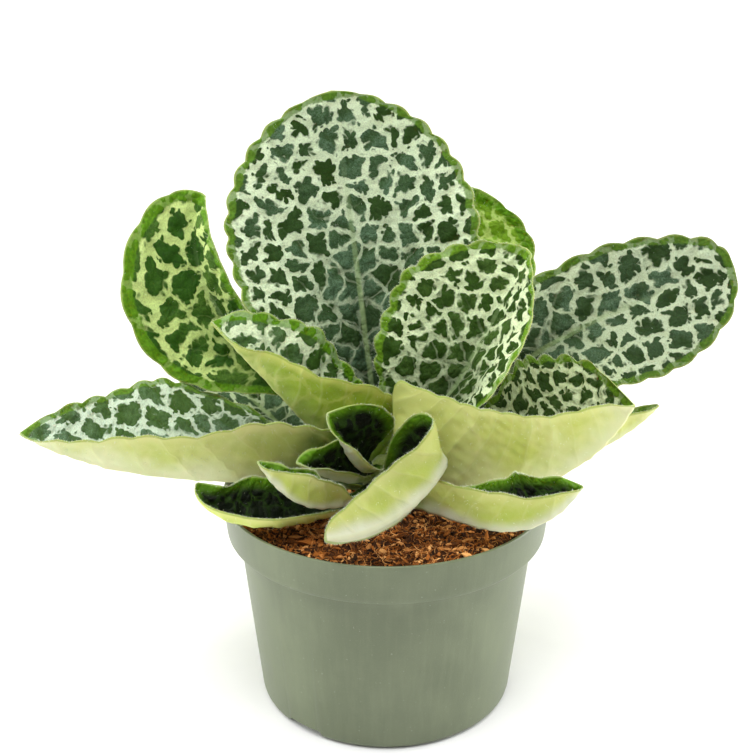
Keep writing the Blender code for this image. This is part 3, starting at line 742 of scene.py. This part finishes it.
def leaf_surface(spec, s, t):
    """The blade's middle surface, its normals, and maps of the blade and its veins.

    s runs from base to tip and t, a row of columns for each s, from left edge to right edge.
    Each half leaves the midrib at its fold angle and bends up evenly by its curl angle; where
    a half is narrow its fold opens into a shallow channel. The teeth move the edge out and in,
    squarely across it where it narrows to the tip, and cup it a little. The blade map is the
    distance across and along in millimetres. The vein map is a count of side veins, which
    leave the midrib aslant and curve to the tip, and the distance to the edge.
    """
    place, ahead = midrib(spec["rib"], s)
    face = [unit(vector) for vector in spec["face"]]
    middle = face[1] if len(face) == 3 else unit(face[0] + face[-1])
    k = s[:, None]
    facing = face[0] * (1 - k) ** 2 + middle * 2 * k * (1 - k) + face[-1] * k ** 2
    upper = unit(facing - (facing * ahead).sum(1, keepdims=True) * ahead)
    side = np.cross(ahead, upper)
    column = np.broadcast_to(t, (len(s), np.shape(t)[-1]))
    row = k + 0 * column
    reach = np.abs(column)
    keel = np.sqrt(column ** 2 + KEEL_ROUNDING ** 2) - KEEL_ROUNDING
    across, lift, lean, rise, forward, span_here = np.zeros((6, *row.shape))
    fine, count, slope, along = margin(spec)
    length = along[-1]
    along = np.interp(s, fine, along)[:, None]
    teeth = np.abs(np.sin(math.pi * np.interp(s, fine, count)))[:, None] - 0.6
    slope = np.clip(np.interp(s, fine, slope), -STEEPEST_EDGE, 0)[:, None]
    for index, sign in ((0, -1.0), (1, 1.0)):
        half, tooth = one_half(spec, index, "half", "tooth")
        fold, fold_end, curl = np.radians(one_half(spec, index, "fold", "fold_end", "curl"))
        curl += 0.0001
        width = half_width(spec, s, index)[:, None]
        edge = tooth * teeth * np.clip(width / (0.4 * half), 0, 1) ** 2 * reach ** 6
        span = width + edge / np.hypot(1, slope)
        angle = (fold * (1 - row) + fold_end * row) * np.clip(width / FULL_FOLD_WIDTH, 0, 1)
        out = span * (np.sin(angle + curl * reach) - np.sin(angle)) / curl
        up = span * (np.cos(angle) - np.cos(angle + curl * keel)) / curl
        ripple = np.sin(2 * math.pi * spec["waves"] * row + 2 * index)
        up = up + spec["wave"] * ripple * reach ** 2 * np.clip(width / (0.5 * half), 0, 1)
        mine = column * sign > 0
        forward -= mine * edge * slope / np.hypot(1, slope)
        across += mine * sign * out
        lift += mine * (up + 0.3 * edge)
        near = 0.5 + 0.5 * np.clip(column * sign / KEEL_BLEND, -1, 1)
        lean -= near * sign * np.sin(angle + curl * reach)
        rise += near * np.cos(angle + curl * reach)
        span_here += np.where(mine, span, 0.5 * width * (column == 0))
    side, upper = side[:, None, :], upper[:, None, :]
    surface = place[:, None, :] + across[..., None] * side + lift[..., None] * upper
    surface = surface + forward[..., None] * ahead[:, None, :]
    normal = unit(lean[..., None] * side + rise[..., None] * upper)
    x = column * span_here
    spacing = length / SIDE_VEINS
    flow = (along - VEIN_SLANT * np.abs(x) - VEIN_BEND * x ** 2) / spacing + 0.5 * (x > 0)
    edge_gap = np.minimum((1 - reach) * span_here / np.hypot(1, slope), length - along)
    blade_map = np.stack([x, along + 0 * x], -1)
    return surface, normal, blade_map, np.stack([flow, edge_gap], -1), spacing


def relief(blade_map, vein_map, spacing, seed):
    """Height of the puckered blade: raised between sunken veins, with small blisters on it."""
    x, y = blade_map[..., 0], blade_map[..., 1]
    side_vein = np.abs(vein_map[..., 0] - np.round(vein_map[..., 0])) * spacing
    pillow = (1 - np.exp(-(side_vein / 2.6) ** 2)) * (1 - np.exp(-(x / 2.8) ** 2))
    inside = np.clip(vein_map[..., 1] / 7.0, 0, 1)
    blisters = waves(x, y, 16, 3.5, 9.0, seed) * np.clip(vein_map[..., 1] / 3.0, 0.25, 1)
    return PILLOW_HEIGHT * pillow * inside + BLISTER_HEIGHT * blisters


def vein_ribs(blade_map, vein_map, spacing, s):
    """Thickness of the raised veins on the underside, dying out to the edge and the tip."""
    x = blade_map[..., 0]
    side_vein = np.abs(vein_map[..., 0] - np.round(vein_map[..., 0])) * spacing
    fade = np.clip(vein_map[..., 1] / 12.0, 0, 1)
    keel = (0.5 + 1.5 * np.clip(1 - s / 0.6, 0, 1))[:, None] * np.exp(-(x / 1.5) ** 2)
    return keel + 0.18 * fade * np.exp(-(side_vein / 0.9) ** 2)


def leaf_maps(start):
    """The maps that both sides read: blade position, vein count and distance to the edge."""
    blade, veins = start.map("blade"), start.map("veins")
    return blade, blade.part(0), veins.part(0), veins.part(1)


def island_depth(blade, cell, inner):
    """Distance from the network's lines, in millimetres, and each island's own random tone.

    Large cells hold the islands. Near the middle of each small cell their depth is raised, and
    between small cells it is lowered a little, so that an island is a cluster of round lobes
    with notches between. Towards the midrib, where inner is 1, the lobes are weaker.
    """
    flow = blade
    for scale, reach in ((0.1, 6.0), (0.6, 1.0)):
        push = blade.noise(scale, output=1).moved((-0.5, -0.5, -0.5))
        flow = flow.moved(push.stretched((reach, reach, 0.0)))
    to_centre = {"voronoi_dimensions": "2D"}
    to_edge = {"voronoi_dimensions": "2D", "feature": "DISTANCE_TO_EDGE"}
    lobes = {"Vector": flow, "Scale": 1 / LOBE}
    islands = {"Vector": flow, "Scale": 1 / cell, "Randomness": 0.82}
    from_lobe = blade.node("ShaderNodeTexVoronoi", to_centre, lobes)
    tone = blade.node("ShaderNodeTexVoronoi", to_centre, islands, 1)
    depth = blade.node("ShaderNodeTexVoronoi", to_edge, islands) * cell
    depth = depth + (0.42 - from_lobe).most(-0.3) * 3.6 * depth.rise(0.1, 1.1) * (1.0 - inner * 0.4)
    threads = blade.node("ShaderNodeTexVoronoi", to_edge, lobes)
    return depth, tone.part(0), threads * LOBE


def upper_finish(spec, spacing, width, length):
    """Dark islands in a silver network, a painted blue-grey sheen by the midrib, painted shade to the
    base and a plain green edge.
    """
    look = LOOKS[spec["look"]]
    made, start = finish(spec["name"] + "_upper", Specular_IOR_Level=0.14,
                         Subsurface_Weight=0.06, Subsurface_Scale=0.002)
    blade, x, count, edge = leaf_maps(start)
    along = blade.part(1)
    out = x.size() / width
    base = (along - spec["seat"]) / length
    inner = out.rise(0.66, 0.2) * base.rise(0.8, 0.4)
    depth, tone, threads = island_depth(blade, look["cell"], inner)
    patch = blade.noise(0.05).rise(0.35, 0.65)
    # Painted shade, with less network, towards the base, by the look's dark share.
    dark = base.rise(0.62, 0.36) * look["dark"]
    spread = 0.74 - inner * 0.36 + patch * 0.34 + base.rise(0.35, 0.9) * 0.2 - dark * 0.45
    spread = spread * look["spread"]
    line = count + (blade.noise(0.16) - 0.5) * 0.4
    side_vein = (line - line.math("ROUND", line)).size() * spacing
    river = side_vein.rise(2.0, 0.2) * out.rise(0.05, 0.3) * out.rise(1.0, 0.7)
    row = edge + (blade.noise(0.3) - 0.5) * 2.0 - look["border"] - 3.6
    row = row.size().rise(1.2, 0.2)
    depth = depth - (river * 0.7 + row * 0.7 * base.rise(0.2, 0.5)) * look["spread"]
    blur = blade.noise(0.12).rise(0.35, 0.65) * 0.55 + 0.25
    network = depth.rise(spread + blur, spread - blur)
    grain = blade.noise(3.4, detail=3.0, roughness=0.7)
    soft = blade.noise(0.9, detail=3.0)
    down = blade.noise(7.0).rise(0.58, 0.75)
    # Painted reflection: a blue-grey sheen on the islands, stronger by the midrib, and brightest as a
    # painted highlight on the domes between side veins.
    dome_highlight = side_vein.rise(0.6, 4.5) * 0.9 + 0.4
    painted_sheen = tone.rise(0.2, 0.9) * out.rise(0.9, 0.2) * 0.8 + tone * 0.35 + inner * 0.15
    painted_sheen = painted_sheen * (0.3 + grain * 0.9) * dome_highlight
    mottle = blade.noise(1.7, detail=3.0, roughness=0.8)
    painted_sheen = painted_sheen * mottle.rise(0.25, 0.7) * 1.3
    island = painted_sheen.least(1.0).blend(look["island"], look["sheen"])
    dusk = soft.rise(0.3, 0.7) * 0.4 + blade.noise(0.3, detail=2.0).rise(0.5, 0.75) * 0.4
    island = dusk.blend(island, (*look["island"], 0.4))
    silver = mottle.rise(0.3, 0.6) * 0.7 + soft * 0.3
    silver = silver.blend((*look["network"], 0.52), look["network"])
    color = (network * look["net"] * (1.0 - inner * 0.4)).blend(island, silver)
    color = (side_vein.rise(0.7, 0.15) * inner * 0.5).blend(color, (*look["network"], 0.6))
    color = (down * 0.1).blend(color, (205, 214, 185))
    wide = edge + (soft - 0.5) * 2.0
    border = wide.rise(look["border"] + look["melt"], look["border"] - look["melt"])
    green = soft.rise(0.3, 0.7).blend((*look["edge"], 0.6), look["edge"])
    color = (border * (1.0 - network * 0.25)).blend(color, green)
    color = (edge.rise(0.8, 0.2) * 0.8).blend(color, (150, 172, 92))
    # Painted shade in the groove on each side of the lower midrib.
    valley_shade = x.size().rise(8.0, 1.5) * base.rise(0.7, 0.35) * look["net"] * 0.45
    color = valley_shade.blend(color, (22, 40, 12))
    rib = x.size().rise(1.5, 0.5) * base.rise(0.95, 0.35)
    color = (rib * 0.7).blend(color, (150, 174, 118))
    # Painted shade: darker at the very base, and in the lower middle of the blade by the midrib.
    shade = base.rise(0.16, -0.1) * 0.5 + base.rise(0.62, 0.12) * out.rise(0.8, 0.1) * 0.55
    color = (shade + dark * 0.5).least(0.8).blend(color, (14, 30, 5))
    # Painted shade: the leaf's dim darkens its upper side.
    color = color.stretched((pair(spec["dim"])[0],) * 3)
    height = threads.rise(0.0, 0.9) * 0.35 + depth.rise(-0.5, 3.0) * 0.7 + grain * 0.35 + soft * 0.5
    return lead(made, Base_Color=color, Roughness=0.5 + network * 0.15 + grain * 0.15,
                Normal=height.bump(0.6, 0.0007))


def under_finish(spec, spacing, width, length):
    """Pale underside, whiter by the midrib and greener to the base, with faint cells and veins."""
    look = LOOKS[spec["look"]]
    made, start = finish(spec["name"] + "_under", Specular_IOR_Level=0.16,
                         Subsurface_Weight=0.12, Subsurface_Scale=0.003)
    blade, x, count, edge = leaf_maps(start)
    base = (blade.part(1) - spec["seat"]) / length
    depth, tone, threads = island_depth(blade, look["cell"] * 1.3, x * 0.0 + 1.0)
    cloud = blade.noise(0.05, detail=2.0)
    grain = blade.noise(3.0, detail=3.0, roughness=0.7)
    line = count + (blade.noise(0.1, detail=2.0) - 0.5) * 0.5
    side_vein = (line - line.math("ROUND", line)).size() * spacing
    veins = (side_vein.rise(1.0, 0.2) * 0.55).most(x.size().rise(1.6, 0.5))
    veins = veins.most(threads.rise(0.3, 0.05) * 0.15)
    through = depth.rise(0.0, 2.2) * look["cells"] + cloud.rise(0.35, 0.65) * 0.5 + tone * 0.1
    through = (through * edge.rise(0.0, 6.0)).least(1.0)
    color = through.blend(look["under"], look["deep"])
    # Painted shade: each panel between two side veins is darkened by its own random amount, as the
    # facets would be shaded.
    single = {"noise_dimensions": "1D"}
    panel_shade = start.node("ShaderNodeTexWhiteNoise", single, {"W": line.math("FLOOR", line)})
    color = (panel_shade * 0.3).blend(color, look["deep"])
    bloom = (x.size() / width + (cloud - 0.5) * 0.4).rise(0.36, 0.0) * look["bloom"]
    color = bloom.blend(color, (230, 232, 212))
    deep = (base + (cloud - 0.5) * 0.4).rise(0.34, 0.12)
    color = (deep * 0.85).blend(color, look["base"])
    color = (veins * 0.3).blend(color, (218, 222, 160))
    color = (grain.rise(0.35, 0.75) * 0.15).blend(color, (214, 216, 180))
    color = (edge.rise(1.0, 0.4) * 0.7).blend(color, (140, 166, 70))
    # Painted shade: the leaf's dim darkens its under side.
    color = color.stretched((pair(spec["dim"])[1],) * 3)
    height = veins * 0.7 + grain * 0.3 + cloud
    return lead(made, Base_Color=color, Roughness=0.5 + grain * 0.2, Normal=height.bump(0.35, 0.0005))


def rib_length(spec):
    """The midrib's length, measured over short chords."""
    place = midrib(spec["rib"], np.linspace(0, 1, 60))[0]
    return np.linalg.norm(np.diff(place, axis=0), axis=1).sum()


def blade_piece(spec, seed):
    """One leaf: two faces on one grid, joined round the edge and closed at one tip point."""
    length = rib_length(spec)
    width = max(pair(spec["half"]))
    rows = int(length / ROW_STEP) + 24
    half_columns = int(width / COLUMN_STEP) + 4
    u = np.linspace(0, 1, rows)
    s = 1 - (1 - u) ** 1.6
    t = np.linspace(-1, 1, 2 * half_columns + 1)
    t = np.sign(t) * np.abs(t) ** 0.9
    surface, normal, blade_map, vein_map, spacing = leaf_surface(spec, s, t)
    bulge = relief(blade_map, vein_map, spacing, seed)
    to_tip = np.clip((1 - s[:, None]) / 0.04, 0.3, 1)
    half_thick = EDGE_THICKNESS + MIDDLE_THICKNESS * (1 - np.abs(t) ** 4) * to_tip
    above = surface + normal * (half_thick + bulge)[..., None]
    ribs = vein_ribs(blade_map, vein_map, spacing, s)
    below = surface - normal * (half_thick + ribs - 0.4 * bulge)[..., None]
    columns = len(t)
    count = (rows - 1) * columns
    tip = columns // 2
    points = [above[:-1].reshape(-1, 3), above[-1:, tip], below[:-1].reshape(-1, 3), below[-1:, tip]]
    maps = {}
    for title, values in (("blade", blade_map), ("veins", vein_map)):
        flat = np.concatenate([values[:-1].reshape(-1, 2), values[-1:, tip]])
        maps[title] = np.concatenate([flat, flat]) + (0, spec["seat"] if title == "blade" else 0)
    grid = np.arange(count).reshape(-1, columns)
    top = np.stack([grid[:-1, :-1], grid[:-1, 1:], grid[1:, 1:], grid[1:, :-1]], -1).reshape(-1, 4)
    last = grid[-1]
    top_tip = np.stack([last[:-1], last[1:], np.full(columns - 1, count)], 1)
    ring = np.concatenate([grid[0, :], grid[1:, -1], [count], grid[:0:-1, 0]])
    after = np.roll(ring, -1)
    beneath = count + 1
    rim = np.stack([ring, ring + beneath, after + beneath, after], 1)
    quads = np.concatenate([top, top[:, ::-1] + beneath, rim])
    triangles = np.concatenate([top_tip, top_tip[:, ::-1] + beneath])
    finishes = np.concatenate([np.zeros(len(top)), np.ones(len(top) + len(rim)),
                               np.zeros(len(top_tip)), np.ones(len(top_tip))])
    materials = [upper_finish(spec, spacing, width, length), under_finish(spec, spacing, width, length)]
    name = spec["name"].replace("leaf_", "blade_")
    add_piece(name, np.concatenate(points), quads, triangles, materials, "leaf_green",
              [spec["name"]], finishes=finishes, maps=maps)


def hair_finish():
    """Fine clear hairs that read as white, some a little greener."""
    made, start = finish("leaf_hair", Roughness=0.5, Subsurface_Weight=0.1, Subsurface_Scale=0.001)
    tint = start.place().noise(1400.0)
    return lead(made, Base_Color=tint.rise(0.3, 0.7).blend((205, 218, 170), (238, 242, 228)))


def hair_piece(name, specs, material, seed):
    """Every hair is a three-sided spike: its foot is sunk in the blade and it leans at random."""
    draw = np.random.default_rng(seed)
    roots, heads, sizes = [], [], []
    for spec in specs:
        length = rib_length(spec)
        rim = int(length * EDGE_HAIRS_PER_MM)
        s = 0.06 + 0.94 * draw.random(rim)
        s = 1 - (1 - s) ** 1.25
        t = draw.choice([-1.0, 1.0], rim)[:, None]
        edge = leaf_surface(spec, s, t)[0]
        inner = leaf_surface(spec, s, 0.93 * t)[0]
        outward = unit(edge - inner)
        heads.append((outward + 0.55 * draw.normal(size=edge.shape))[:, 0])
        roots.append(edge[:, 0] - 0.15 * outward[:, 0])
        sizes.append(0.35 + 0.75 * draw.random(rim))
        face = int(length * max(pair(spec["half"])) * FACE_HAIRS_PER_SQUARE_MM)
        s = 0.05 + 0.93 * draw.random(face)
        t = (2 * draw.random(face) - 1)[:, None]
        skin, normal = leaf_surface(spec, s, t)[:2]
        out = normal * draw.choice([-1.0, 1.0], face)[:, None, None]
        heads.append((out + 0.5 * draw.normal(size=out.shape))[:, 0])
        roots.append(skin[:, 0] + 0.1 * out[:, 0])
        sizes.append(0.9 + 0.6 * draw.random(face))
    root = np.concatenate(roots)
    head = unit(np.concatenate(heads))
    size = np.concatenate(sizes)[:, None]
    across = unit(np.cross(head, draw.normal(size=head.shape)))
    other = np.cross(head, across)
    around = turns(3)
    ring = np.cos(around)[:, None] * across[:, None] + np.sin(around)[:, None] * other[:, None]
    foot = root[:, None] + HAIR_RADIUS * ring
    points = np.concatenate([foot, (root + head * size)[:, None]], 1).reshape(-1, 3)
    faces = np.array([(0, 1, 3), (1, 2, 3), (2, 0, 3), (2, 1, 0)])
    triangles = (faces[None] + 4 * np.arange(len(root))[:, None, None]).reshape(-1, 3)
    add_piece(name, points, (), triangles, [material], "leaf_green")


for number, spec in enumerate(LEAVES):
    spec["seat"] = SEAT_STEP * (number + 1)
    blade_piece(spec, number + 1)
hair = hair_finish()
hair_piece("leaf_hairs_upright", LEAVES[:5], hair, 31)
hair_piece("leaf_hairs_front", LEAVES[5:15], hair, 32)
hair_piece("leaf_hairs_rear", LEAVES[15:], hair, 33)


# ---- The studio
# A wide white floor under a big soft light from above and the front. A weaker soft light
# stands at each side, and there is pale light all round.

SWEEP_SIZE = 80.0
SENSOR_WIDTH = 36.0
PHOTO_WIDTH = 755.0
FOCAL_PIXELS = 1452.0
CAMERA_PLACE = (-0.0032, -0.48, 0.32)
CAMERA_DIP = 22.07


def sweep_finish():
    """Smooth white paper."""
    made, start = finish("studio_paper", Roughness=0.9)
    fleck = start.place().noise(60.0, detail=2.0)
    return lead(made, Base_Color=fleck.blend((255, 255, 255, 0.86), (255, 255, 255, 0.9)))


def soft_light(name, place, aim, size, power):
    """A square soft light at a place, turned to its aim."""
    lamp = bpy.data.lights.new(name, "AREA")
    lamp.shape = "SQUARE"
    lamp.size = size
    lamp.energy = power
    holder = put(name, lamp)
    holder.location = place
    back = unit(np.subtract(place, aim))
    holder.rotation_euler = (math.acos(back[2]), 0.0, math.atan2(back[1], back[0]) + math.pi / 2)


half = SWEEP_SIZE / 2
sweep_mesh = bpy.data.meshes.new("studio_floor")
corners = [(-half, -half, 0), (half, -half, 0), (half, half, 0), (-half, half, 0)]
sweep_mesh.from_pydata(corners, [], [(0, 1, 2, 3)])
sweep_mesh.materials.append(sweep_finish())
sweep = put("studio_floor", sweep_mesh)

sun = bpy.data.lights.new("light_sky", "SUN")
sun.energy = 2.5
sun.angle = math.radians(50.0)
sky = put("light_sky", sun)
sky.rotation_euler = (math.radians(14.0), math.radians(-8.0), 0.0)
soft_light("light_left", (-0.9, 0.1, 0.3), (0.0, 0.0, 0.06), 0.6, 6.0)
soft_light("light_right", (0.9, 0.2, 0.3), (0.0, 0.0, 0.06), 0.6, 9.0)
world = bpy.data.worlds.new("studio_air")
world.use_nodes = True
air = world.node_tree.nodes["Background"]
air.inputs["Color"].default_value = (1.0, 1.0, 1.0, 1.0)
around = Wire(world.node_tree).node("ShaderNodeTexCoord", {}, {}, output=0)
glow = 0.32 + around.part(1).rise(-0.7, 0.3) * 0.36 + around.part(2).rise(0.1, 0.9) * 0.25
world.node_tree.links.new(glow.socket, air.inputs["Strength"])
bpy.context.scene.world = world
bpy.context.scene.view_settings.view_transform = "Standard"

lens = bpy.data.cameras.new("camera")
lens.sensor_width = SENSOR_WIDTH
lens.lens = SENSOR_WIDTH * FOCAL_PIXELS / PHOTO_WIDTH
camera = put("camera", lens)
camera.location = CAMERA_PLACE
camera.rotation_euler = (math.radians(90.0 - CAMERA_DIP), 0.0, 0.0)
bpy.context.scene.camera = camera
